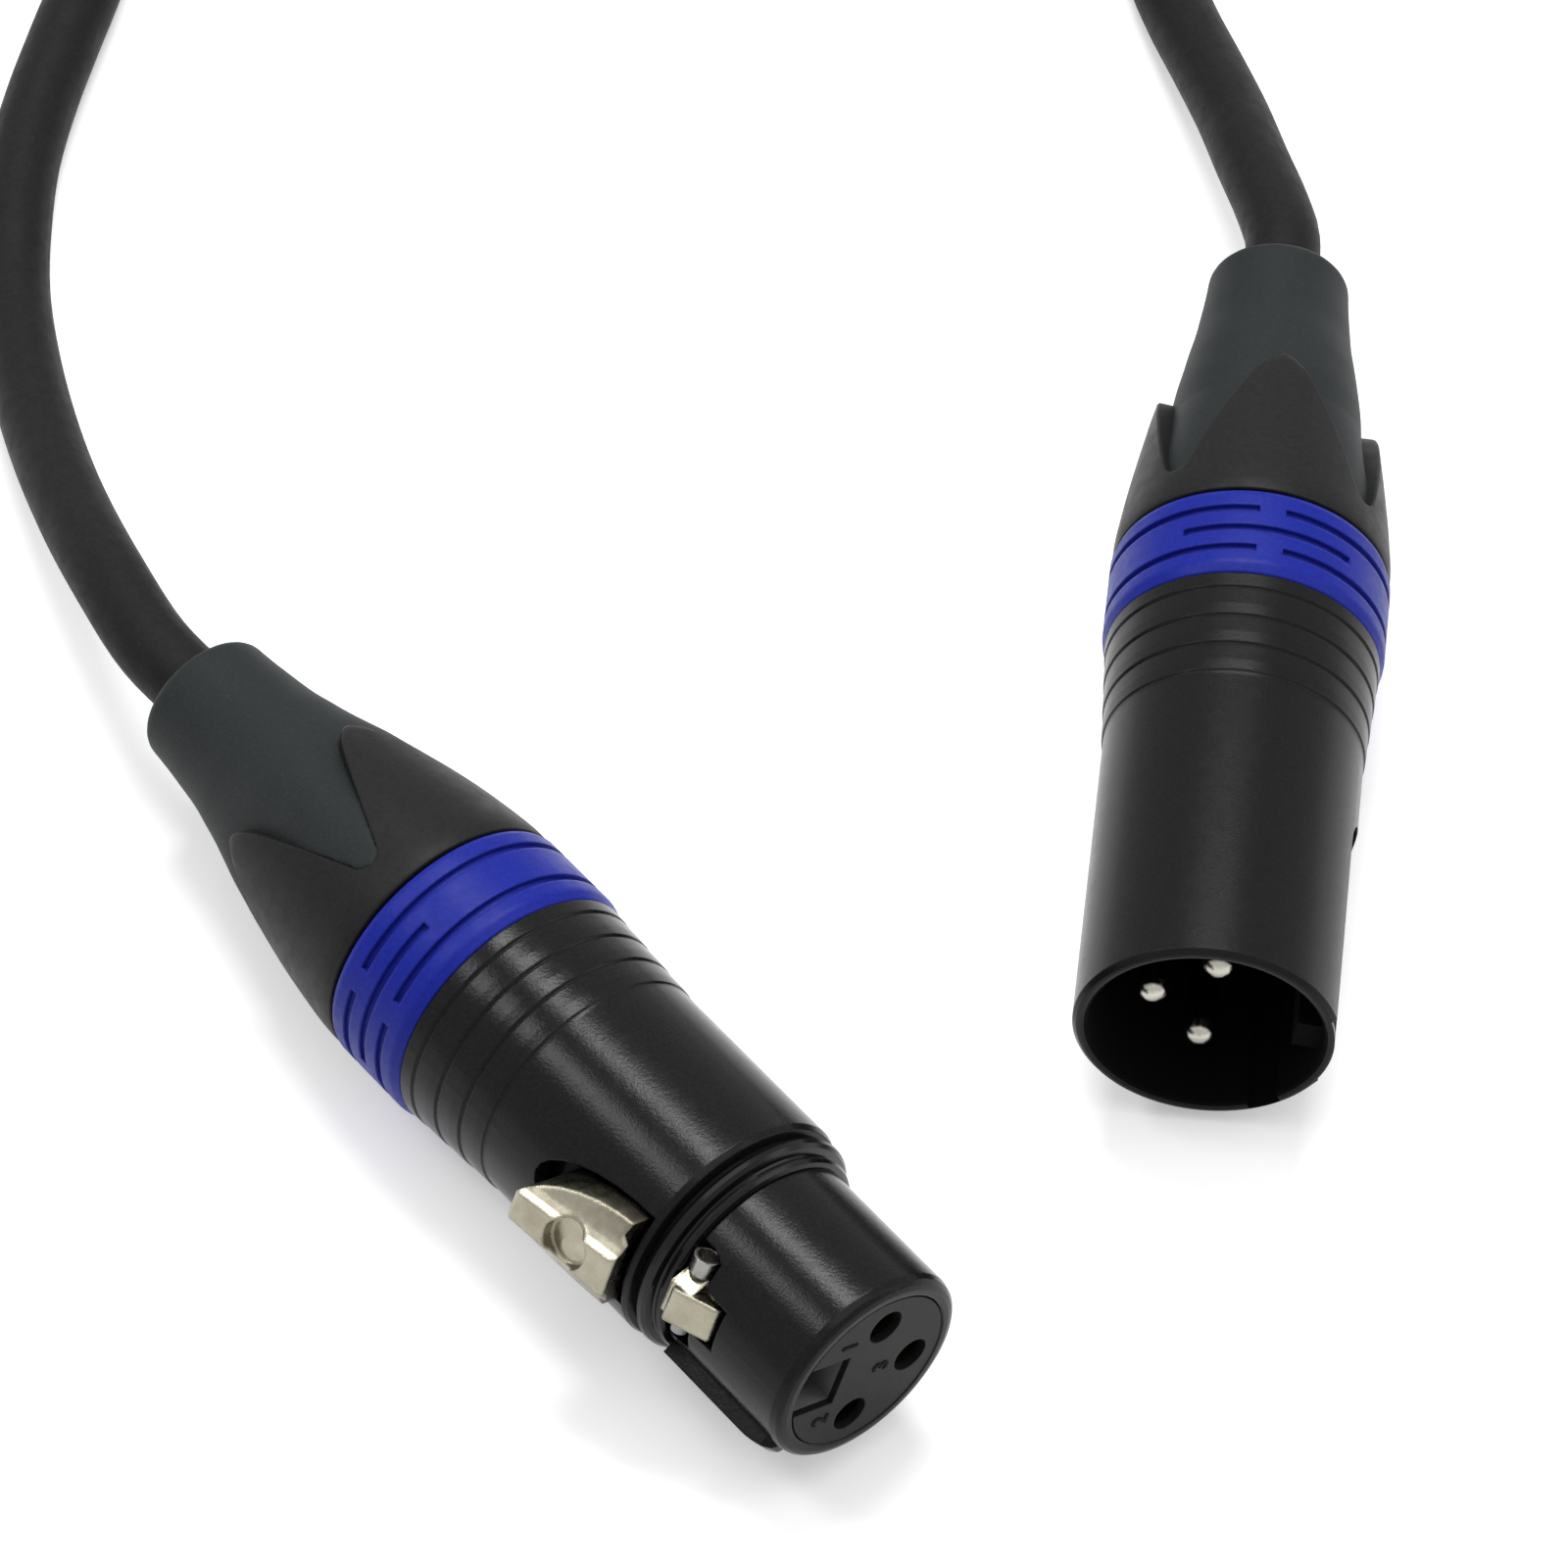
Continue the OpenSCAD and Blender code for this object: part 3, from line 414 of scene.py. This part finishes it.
# ---------------------------------------------------------------- contact numbers
# Places in millimetres in the socket's own frame.
LABELS = {"1": (3.0, 3.35), "2": (3.0, -3.6), "3": (-1.35, 0.0)}
LABEL_SINK = 0.00003
label_objects = []
for digit, (x, y) in LABELS.items():
    text = bpy.data.curves.new("digit_" + digit, "FONT")
    text.body = digit
    text.size = 0.0019
    text.extrude = 0.00004
    text.offset = 0.00005
    text.align_x = "CENTER"
    text.align_y = "CENTER"
    source = bpy.data.objects.new("digit_" + digit, text)
    scene.collection.objects.link(source)
    bpy.context.view_layer.update()
    graph = bpy.context.evaluated_depsgraph_get()
    mesh = bpy.data.meshes.new_from_object(source.evaluated_get(graph))
    bpy.data.objects.remove(source)
    mesh.transform(SOCKET @ Matrix.Translation((x / 1000, y / 1000, LABEL_SINK))
                   @ Matrix.Rotation(math.pi, 4, "X") @ Matrix.Rotation(math.radians(-90), 4, "Z"))
    o = bpy.data.objects.new("number_" + digit, mesh)
    scene.collection.objects.link(o)
    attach(o, "lead")
    label_objects.append(o)

# ---------------------------------------------------------------- materials
class Mat:
    """A principled material with a few procedural helpers in object coordinates."""

    def __init__(self, name, color, rough, metallic=0.0, specular=0.5):
        self.m = bpy.data.materials.new(name)
        self.m.use_nodes = True
        self.t = self.m.node_tree
        self.n = self.t.nodes
        self.l = self.t.links
        self.p = self.n["Principled BSDF"]
        self.p.inputs["Base Color"].default_value = (*color, 1)
        self.p.inputs["Roughness"].default_value = rough
        self.p.inputs["Metallic"].default_value = metallic
        self.p.inputs["Specular IOR Level"].default_value = specular
        self.co = self.n.new("ShaderNodeTexCoord").outputs["Object"]
        self.normal = None

    def noise(self, scale, detail=2.0, rough=0.5):
        t = self.n.new("ShaderNodeTexNoise")
        t.inputs["Scale"].default_value = scale
        t.inputs["Detail"].default_value = detail
        t.inputs["Roughness"].default_value = rough
        self.l.new(self.co, t.inputs["Vector"])
        return t.outputs["Fac"]

    def ramp(self, src, stops):
        r = self.n.new("ShaderNodeValToRGB")
        r.color_ramp.elements[0].position = stops[0][0]
        r.color_ramp.elements[0].color = (*stops[0][1], 1)
        r.color_ramp.elements[1].position = stops[-1][0]
        r.color_ramp.elements[1].color = (*stops[-1][1], 1)
        for pos, col in stops[1:-1]:
            e = r.color_ramp.elements.new(pos)
            e.color = (*col, 1)
        self.l.new(src, r.inputs["Fac"])
        return r.outputs["Color"]

    def remap(self, src, a, b, lo=0.3, hi=0.7):
        """Turns lo..hi into a..b, and clamps outside it."""
        r = self.n.new("ShaderNodeMapRange")
        r.inputs["From Min"].default_value = lo
        r.inputs["From Max"].default_value = hi
        r.inputs["To Min"].default_value = a
        r.inputs["To Max"].default_value = b
        self.l.new(src, r.inputs["Value"])
        return r.outputs["Result"]

    def bump(self, src, height, strength=1.0):
        b = self.n.new("ShaderNodeBump")
        b.inputs["Distance"].default_value = height
        b.inputs["Strength"].default_value = strength
        self.l.new(src, b.inputs["Height"])
        if self.normal:
            self.l.new(self.normal, b.inputs["Normal"])
        self.normal = b.outputs["Normal"]
        self.l.new(self.normal, self.p.inputs["Normal"])

    def bevel(self, radius):
        b = self.n.new("ShaderNodeBevel")
        b.samples = 6
        b.inputs["Radius"].default_value = radius
        self.normal = b.outputs["Normal"]
        self.l.new(self.normal, self.p.inputs["Normal"])

    def math(self, op, a, b):
        m = self.n.new("ShaderNodeMath")
        m.operation = op
        for i, v in enumerate((a, b)):
            if isinstance(v, (int, float)):
                m.inputs[i].default_value = v
            else:
                self.l.new(v, m.inputs[i])
        return m.outputs[0]

    def along(self, place):
        """x, y, z in metres in a connector's own frame, z from its mouth, and the radius."""
        inverse = place.inverted()
        mapping = self.n.new("ShaderNodeMapping")
        mapping.inputs["Location"].default_value = inverse.to_translation()
        mapping.inputs["Rotation"].default_value = inverse.to_euler()
        self.l.new(self.co, mapping.inputs["Vector"])
        split = self.n.new("ShaderNodeSeparateXYZ")
        self.l.new(mapping.outputs["Vector"], split.inputs["Vector"])
        x, y, z = split.outputs
        squares = self.math("ADD", self.math("MULTIPLY", x, x), self.math("MULTIPLY", y, y))
        return x, y, z, self.math("SQRT", squares, 0)

    def above(self, src, value):
        return self.math("GREATER_THAN", src, value)

    def below(self, src, value):
        return self.math("LESS_THAN", src, value)

    def both(self, a, b):
        return self.math("MULTIPLY", a, b)

    def either(self, a, b):
        return self.math("MAXIMUM", a, b)

    def mask_color(self, mask, color, rough=None):
        """Paints a colour, and a roughness if given, over what is linked, where the mask is 1."""
        if rough is not None:
            old = self.p.inputs["Roughness"].links[0].from_socket
            kept = self.math("MULTIPLY", old, self.math("SUBTRACT", 1, mask))
            self.rough(self.math("ADD", kept, self.math("MULTIPLY", mask, rough)))
        mix = self.n.new("ShaderNodeMix")
        mix.data_type = "RGBA"
        self.l.new(mask, mix.inputs["Factor"])
        self.l.new(self.p.inputs["Base Color"].links[0].from_socket, mix.inputs[6])
        mix.inputs[7].default_value = (*color, 1)
        self.l.new(mix.outputs[2], self.p.inputs["Base Color"])

    def color(self, src):
        self.l.new(src, self.p.inputs["Base Color"])

    def rough(self, src):
        self.l.new(src, self.p.inputs["Roughness"])

    def mottle(self, stops, *noise):
        """Colour from a noise through a ramp."""
        self.color(self.ramp(self.noise(*noise), stops))

    def wear(self, low, high, *noise):
        """Roughness between low and high from a noise."""
        self.rough(self.remap(self.noise(*noise), low, high))

    def grain(self, height, *noise):
        """Fine relief from a noise, as high as said, in metres."""
        self.bump(self.noise(*noise), height)


# Places that the masks below use, in metres in a connector's own frame.
BORE_R, BORE_FROM = 0.00942, 0.0005         # painted shade inside the pin shell behind its lip
LIP_R = 0.00865                             # and on everything nearer to the axis than this
PIN_SHADE_FROM = 0.0052                      # painted shade on the pins behind their tips
FOOT_SHADE_LOW, FOOT_SHADE_END = 0.0098, 0.0116  # painted shade at the pad's foot, fading out upwards
FOOT_SHADE_FROM = 0.0135
SHADE_FROM, SHADE_TOP = 0.0215, 0.0100      # painted shade on the lever low down behind its pad
# painted shade on all of the lever behind this
LEVER_REAR = 0.0243
# the key slot, whose walls get painted light
SLOT_FLOOR, SLOT_HALF, SLOT_FROM = 0.00245, 0.00217, 0.00055


def black_metal(name, rough, grain, grain_scale, specular):
    """Black lacquer on a die-cast shell."""
    m = Mat(name, (0.006, 0.006, 0.0065), rough, specular=specular)
    m.bevel(0.00018)
    m.wear(rough - 0.03, rough + 0.03, 900, 4, 0.6)
    m.mottle([(0.3, (0.004, 0.004, 0.0045)), (0.7, (0.009, 0.009, 0.0095))], grain_scale, 3, 0.6)
    m.grain(grain, grain_scale, 3, 0.6)
    return m


def pin_shell_metal():
    """The same lacquer, with painted shade inside the shell: nearly black and matt there."""
    m = black_metal("shell_male", 0.25, 0.000012, 7000, 0.1)
    _, _, z, radius = m.along(PLUG)
    inside = m.both(m.below(radius, BORE_R), m.above(z, BORE_FROM))
    # painted shade: the bore and everything near the axis made nearly black and matt
    m.mask_color(m.either(inside, m.below(radius, LIP_R)), (0.0006, 0.0006, 0.0006), 0.95)
    return m


def nickel_plate():
    """The lever: warm nickel, with painted shade at the pad's foot and at its hidden rear."""
    m = Mat("nickel", (0.29, 0.272, 0.205), 0.26, metallic=1.0)
    m.bevel(0.0004)
    m.mottle([(0.35, (0.24, 0.22, 0.165)), (0.55, (0.29, 0.272, 0.21)),
              (0.75, (0.33, 0.315, 0.26))], 420, 5, 0.65)
    m.wear(0.2, 0.32, 1400, 4, 0.6)
    m.grain(0.000004, 2600, 3, 0.6)
    height, _, z, _ = m.along(SOCKET)
    # painted shade: brownish dark at the pad's foot, fading out upwards
    foot = m.remap(height, 0.8, 0.0, FOOT_SHADE_LOW, FOOT_SHADE_END)
    m.mask_color(m.both(foot, m.above(z, FOOT_SHADE_FROM)), (0.075, 0.064, 0.046))
    # painted shade, nearly black, low behind the pad and on the hidden rear
    shaded = m.both(m.above(z, SHADE_FROM), m.below(height, SHADE_TOP))
    m.mask_color(m.either(shaded, m.above(z, LEVER_REAR)), (0.012, 0.012, 0.011), 0.6)
    return m


def bare_steel():
    m = Mat("steel", (0.24, 0.235, 0.22), 0.28, metallic=1.0)
    m.bevel(0.0001)
    m.wear(0.2, 0.36, 2500, 3)
    m.grain(0.000004, 4000, 2)
    return m


def dull_steel():
    m = Mat("dark_steel", (0.02, 0.02, 0.02), 0.4, metallic=1.0)
    m.wear(0.35, 0.5, 2500, 3)
    m.grain(0.000004, 4000, 2)
    return m


def silver_plate():
    """The pins, dark behind their tips as in the photograph's shadow."""
    m = Mat("silver", (0.42, 0.41, 0.36), 0.16, metallic=1.0)
    m.mottle([(0.3, (0.38, 0.37, 0.32)), (0.7, (0.45, 0.44, 0.39))], 900, 3)
    m.wear(0.12, 0.22, 1800, 3)
    m.bevel(0.0004)
    # painted shade: the pins nearly black behind their tips
    m.mask_color(m.above(m.along(PLUG)[2], PIN_SHADE_FROM), (0.02, 0.02, 0.018))
    return m


def contact_brass():
    m = Mat("contact", (0.03, 0.024, 0.012), 0.5, metallic=1.0)
    m.mottle([(0.3, (0.014, 0.011, 0.006)), (0.7, (0.022, 0.018, 0.009))], 1500, 3)
    m.wear(0.4, 0.6, 1800, 3)
    return m


def grey_carrier():
    """The socket's contact carrier, with painted light on the walls of its key slot."""
    m = Mat("insert_grey", (0.0085, 0.0087, 0.0085), 0.5, specular=0.12)
    m.bevel(0.00012)
    m.mottle([(0.3, (0.0065, 0.0067, 0.0065)), (0.7, (0.0105, 0.0107, 0.0105))], 1500, 4)
    m.grain(0.000012, 6000, 3, 0.6)
    x, y, z, _ = m.along(SOCKET)
    # painted light: the key slot's walls made light grey, as if lit
    slot = m.both(m.above(x, SLOT_FLOOR), m.below(m.math("ABSOLUTE", y, 0), SLOT_HALF))
    m.mask_color(m.both(slot, m.above(z, SLOT_FROM)), (0.15, 0.155, 0.153))
    return m


def blue_plastic():
    m = Mat("ring_blue", (0.007, 0.014, 0.21), 0.42, specular=0.1)
    m.bevel(0.00028)
    m.mottle([(0.3, (0.006, 0.012, 0.19)), (0.7, (0.009, 0.018, 0.25))], 3000, 4, 0.6)
    m.wear(0.34, 0.46, 1200, 3)
    m.grain(0.000012, 5500, 3, 0.6)
    return m


def nut_plastic():
    m = Mat("nut_black", (0.0085, 0.0087, 0.0085), 0.5, specular=0.1)
    m.bevel(0.0002)
    m.mottle([(0.3, (0.0068, 0.007, 0.0068)), (0.7, (0.0115, 0.0118, 0.0113))], 2600, 4, 0.6)
    m.wear(0.4, 0.5, 900, 3)
    m.grain(0.000014, 6500, 3, 0.6)
    return m


def boot_rubber():
    m = Mat("boot_soft", (0.011, 0.0128, 0.0134), 0.6, specular=0.14)
    m.bevel(0.0003)
    m.mottle([(0.3, (0.0092, 0.0112, 0.0118)), (0.62, (0.0135, 0.0162, 0.0171)),
              (0.8, (0.03, 0.034, 0.0355))], 3500, 5, 0.7)
    m.grain(0.00002, 5000, 4, 0.7)
    return m


def cable_jacket():
    m = Mat("jacket", (0.008, 0.008, 0.0083), 0.55, specular=0.09)
    m.mottle([(0.3, (0.006, 0.006, 0.0062)), (0.65, (0.0098, 0.0098, 0.0102)),
              (0.82, (0.022, 0.022, 0.0225))], 2200, 5, 0.65)
    m.wear(0.5, 0.62, 700, 3)
    m.grain(0.00002, 4200, 4, 0.65)
    return m


def plain(name, color, rough, height, *noise, specular=0.5):
    """One colour with a fine relief."""
    m = Mat(name, color, rough, specular=specular)
    m.grain(height, *noise)
    return m


def woven_strap():
    m = Mat("strap_fabric", (0.015, 0.015, 0.017), 0.9)
    weave = m.n.new("ShaderNodeTexWave")
    weave.inputs["Scale"].default_value = 700
    weave.inputs["Distortion"].default_value = 1.5
    m.l.new(m.co, weave.inputs["Vector"])
    m.color(m.ramp(weave.outputs["Fac"],
                   [(0.2, (0.010, 0.010, 0.011)), (0.8, (0.026, 0.026, 0.029))]))
    m.bump(weave.outputs["Fac"], 0.00012)
    m.grain(0.0001, 3500, 4, 0.7)
    m.p.inputs["Sheen Weight"].default_value = 0.3
    return m


shell_female = black_metal("shell_female", 0.2, 0.000014, 4200, 0.1)
shell_male = pin_shell_metal()
nickel = nickel_plate()
steel = bare_steel()
dark_steel = dull_steel()
silver = silver_plate()
brass = contact_brass()
insert_grey = grey_carrier()
insert_black = plain("insert_black", (0.0015, 0.0015, 0.0015), 0.6, 0.000012, 6000, 3,
                     specular=0.05)
seal = plain("seal", (0.003, 0.003, 0.003), 0.18, 0.000006, 1500, 3, specular=0.2)
ring_blue = blue_plastic()
nut_black = nut_plastic()
boot_soft = boot_rubber()
jacket = cable_jacket()
nylon = plain("nylon", (0.35, 0.35, 0.34), 0.4, 0.00001, 3000, 2)
chuck_black = plain("chuck_black", (0.02, 0.02, 0.02), 0.45, 0.00001, 3000, 2)
wire = plain("wire", (0.6, 0.6, 0.58), 0.4, 0.00001, 3000, 2)
strap_fabric = woven_strap()

LOOKS = {
    "female_shell": shell_female, "male_shell": shell_male,
    "female_seal_ring": seal, "female_insert": insert_grey, "male_insert": insert_black,
    "female_contact_1": brass, "female_contact_2": brass, "female_contact_3": brass,
    "male_contact_1": silver, "male_contact_2": silver, "male_contact_3": silver,
    "latch_lever": nickel, "latch_pivot_pin": dark_steel, "latch_cross_pin": steel,
    "latch_spring": dark_steel, "cross_pin_plug": nylon,
    "female_chuck": chuck_black, "male_chuck": chuck_black,
    "female_colour_ring": ring_blue, "male_colour_ring": ring_blue,
    "female_gland_nut": nut_black, "male_gland_nut": nut_black,
    "female_boot": boot_soft, "male_boot": boot_soft,
    "female_cable_end": jacket, "male_cable_end": jacket,
    "female_wires": wire, "male_wires": wire,
}
for name, look in LOOKS.items():
    o = nodes[name]
    o.data.materials.clear()
    o.data.materials.append(look.m)
cable.data.materials.append(jacket.m)
spring.data.materials.append(dark_steel.m)
strap.data.materials.append(strap_fabric.m)
for nut, tail in tails:
    nut.data.materials.append(nut_black.m)
    tail.data.materials.append(boot_soft.m)
for o in label_objects:
    o.data.materials.append(insert_black.m)

# ---------------------------------------------------------------- stage
FLOOR_HALF, FLOOR_DROP = 3.0, 0.00005
FLOOR_WHITE, FLOOR_GLOW = 0.86, 0.36
WORLD_LIGHT, WORLD_SEEN = 0.35, 1.0


def emptied(owner):
    """The node tree of a material or world, with nothing in it."""
    owner.use_nodes = True
    for n in list(owner.node_tree.nodes):
        owner.node_tree.nodes.remove(n)
    return owner.node_tree


def any_ray(tree):
    """1 for camera, glossy and transmission rays."""
    light_path = tree.nodes.new("ShaderNodeLightPath")
    seen = light_path.outputs["Is Camera Ray"]
    for ray in ("Is Glossy Ray", "Is Transmission Ray"):
        either = tree.nodes.new("ShaderNodeMath")
        either.operation = "MAXIMUM"
        tree.links.new(seen, either.inputs[0])
        tree.links.new(light_path.outputs[ray], either.inputs[1])
        seen = either.outputs[0]
    return seen


def floor_material():
    """White that takes the shadow, with a glow that only lifts it in view."""
    material = bpy.data.materials.new("floor")
    tree = emptied(material)
    out = tree.nodes.new("ShaderNodeOutputMaterial")
    diffuse = tree.nodes.new("ShaderNodeBsdfDiffuse")
    diffuse.inputs["Color"].default_value = (FLOOR_WHITE, FLOOR_WHITE, FLOOR_WHITE, 1)
    glow = tree.nodes.new("ShaderNodeEmission")
    gain = tree.nodes.new("ShaderNodeMath")
    gain.operation = "MULTIPLY"
    gain.inputs[1].default_value = FLOOR_GLOW
    add = tree.nodes.new("ShaderNodeAddShader")
    tree.links.new(any_ray(tree), gain.inputs[0])
    tree.links.new(gain.outputs[0], glow.inputs["Strength"])
    tree.links.new(diffuse.outputs[0], add.inputs[0])
    tree.links.new(glow.outputs[0], add.inputs[1])
    tree.links.new(add.outputs[0], out.inputs["Surface"])
    return material


def white_world():
    """Soft light on the part, plain white where it is seen."""
    world = bpy.data.worlds.new("world")
    tree = emptied(world)
    out = tree.nodes.new("ShaderNodeOutputWorld")
    mix = tree.nodes.new("ShaderNodeMixShader")
    tree.links.new(any_ray(tree), mix.inputs["Fac"])
    for i, strength in ((1, WORLD_LIGHT), (2, WORLD_SEEN)):
        background = tree.nodes.new("ShaderNodeBackground")
        background.inputs["Color"].default_value = (1, 1, 1, 1)
        background.inputs["Strength"].default_value = strength
        tree.links.new(background.outputs[0], mix.inputs[i])
    tree.links.new(mix.outputs[0], out.inputs["Surface"])
    return world


def softbox(name, at, target, width, height, power):
    light = bpy.data.lights.new(name, "AREA")
    light.shape = "RECTANGLE"
    light.size = width
    light.size_y = height
    light.energy = power
    o = bpy.data.objects.new(name, light)
    o.location = at
    o.rotation_euler = (Vector(target) - Vector(at)).to_track_quat("-Z", "Y").to_euler()
    scene.collection.objects.link(o)


floor_mesh = bpy.data.meshes.new("floor")
floor_mesh.from_pydata([(-FLOOR_HALF, -FLOOR_HALF, 0), (FLOOR_HALF, -FLOOR_HALF, 0),
                        (FLOOR_HALF, FLOOR_HALF, 0), (-FLOOR_HALF, FLOOR_HALF, 0)],
                       [], [(0, 1, 2, 3)])
floor = bpy.data.objects.new("floor", floor_mesh)
floor.location.z = -FLOOR_DROP
scene.collection.objects.link(floor)
floor.data.materials.append(floor_material())
scene.world = white_world()

# The first two stand where the photograph's long highlights ask for them.
softbox("back_strip", (-0.03, 0.345, 0.815), (0, -0.03, 0), 0.5, 0.13, 6.0)
softbox("left", (-0.552, 0.048, 0.709), (0, -0.03, 0), 0.2, 0.2, 1.7)
softbox("overhead", (0.1, -0.05, 1.0), (0, 0, 0), 0.8, 0.8, 3.0)
softbox("right", (0.8, 0.1, 0.5), (0, 0, 0), 0.4, 0.8, 1.8)
